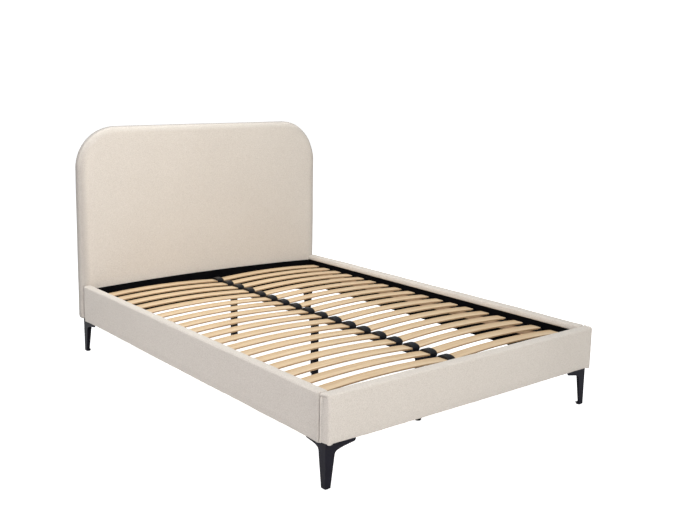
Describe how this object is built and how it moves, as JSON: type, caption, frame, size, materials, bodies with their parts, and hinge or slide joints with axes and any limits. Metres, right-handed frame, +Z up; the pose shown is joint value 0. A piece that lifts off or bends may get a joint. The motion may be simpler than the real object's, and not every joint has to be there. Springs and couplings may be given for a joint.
{
  "type": "upholstered headboard bed",
  "caption": "Double bed frame with a round-cornered padded headboard, padded rails, sprung wooden slats, L-shaped metal legs and adjustable feet under a centre beam.",
  "frame": {"origin": "on the floor, under the middle of the bed", "axes": "+X to the right as seen from the foot of the bed, +Y from the foot to the headboard, +Z up"},
  "size_m": [1.5, 2.126, 1.184],
  "materials": {
    "boucle": "cream boucle upholstery fabric, nubby and matt",
    "black_lining": "black non-woven lining over board, matt",
    "birch": "pale laminated birch, satin",
    "holder_plastic": "black moulded plastic, satin",
    "black_steel": "black powder coat, satin"
  },
  "bodies": {
    "bed_frame": {"headboard_cover": "boucle", "left_rail_cover": "boucle", "right_rail_cover": "boucle", "foot_cover": "boucle", "headboard_board": "black_lining", "head_cross_board": "black_lining", "left_rail_board": "black_lining", "right_rail_board": "black_lining", "foot_board": "black_lining", "left_slat_01": "birch", "left_slat_02": "birch", "left_slat_03": "birch", "left_slat_04": "birch", "left_slat_05": "birch", "left_slat_06": "birch", "left_slat_07": "birch", "left_slat_08": "birch", "left_slat_09": "birch", "left_slat_10": "birch", "left_slat_11": "birch", "left_slat_12": "birch", "left_slat_13": "birch", "left_slat_14": "birch", "left_slat_15": "birch", "left_slat_16": "birch", "left_slat_17": "birch", "left_slat_18": "birch", "right_slat_01": "birch", "right_slat_02": "birch", "right_slat_03": "birch", "right_slat_04": "birch", "right_slat_05": "birch", "right_slat_06": "birch", "right_slat_07": "birch", "right_slat_08": "birch", "right_slat_09": "birch", "right_slat_10": "birch", "right_slat_11": "birch", "right_slat_12": "birch", "right_slat_13": "birch", "right_slat_14": "birch", "right_slat_15": "birch", "right_slat_16": "birch", "right_slat_17": "birch", "right_slat_18": "birch", "left_ledge": "birch", "right_ledge": "birch", "centre_beam": "holder_plastic", "head_beam_bracket": "black_steel", "foot_beam_bracket": "black_steel", "corner_leg_foot_left": "black_steel", "corner_leg_foot_right": "black_steel", "corner_leg_head_right": "black_steel", "corner_leg_head_left": "black_steel", "centre_leg_head": "black_steel", "centre_leg_middle": "black_steel", "centre_leg_foot": "black_steel"},
    "head_levelling_foot": {"levelling_foot_head": "holder_plastic"},
    "middle_levelling_foot": {"levelling_foot_middle": "holder_plastic"},
    "foot_levelling_foot": {"levelling_foot_foot": "holder_plastic"}
  },
  "joints": [
    {"name": "head_foot_screw", "type": "slide", "parent": "bed_frame", "child": "head_levelling_foot", "axis": [0, 0, -1], "range_m": [0, 0.015]},
    {"name": "middle_foot_screw", "type": "slide", "parent": "bed_frame", "child": "middle_levelling_foot", "axis": [0, 0, -1], "range_m": [0, 0.015]},
    {"name": "foot_foot_screw", "type": "slide", "parent": "bed_frame", "child": "foot_levelling_foot", "axis": [0, 0, -1], "range_m": [0, 0.015]}
  ]
}
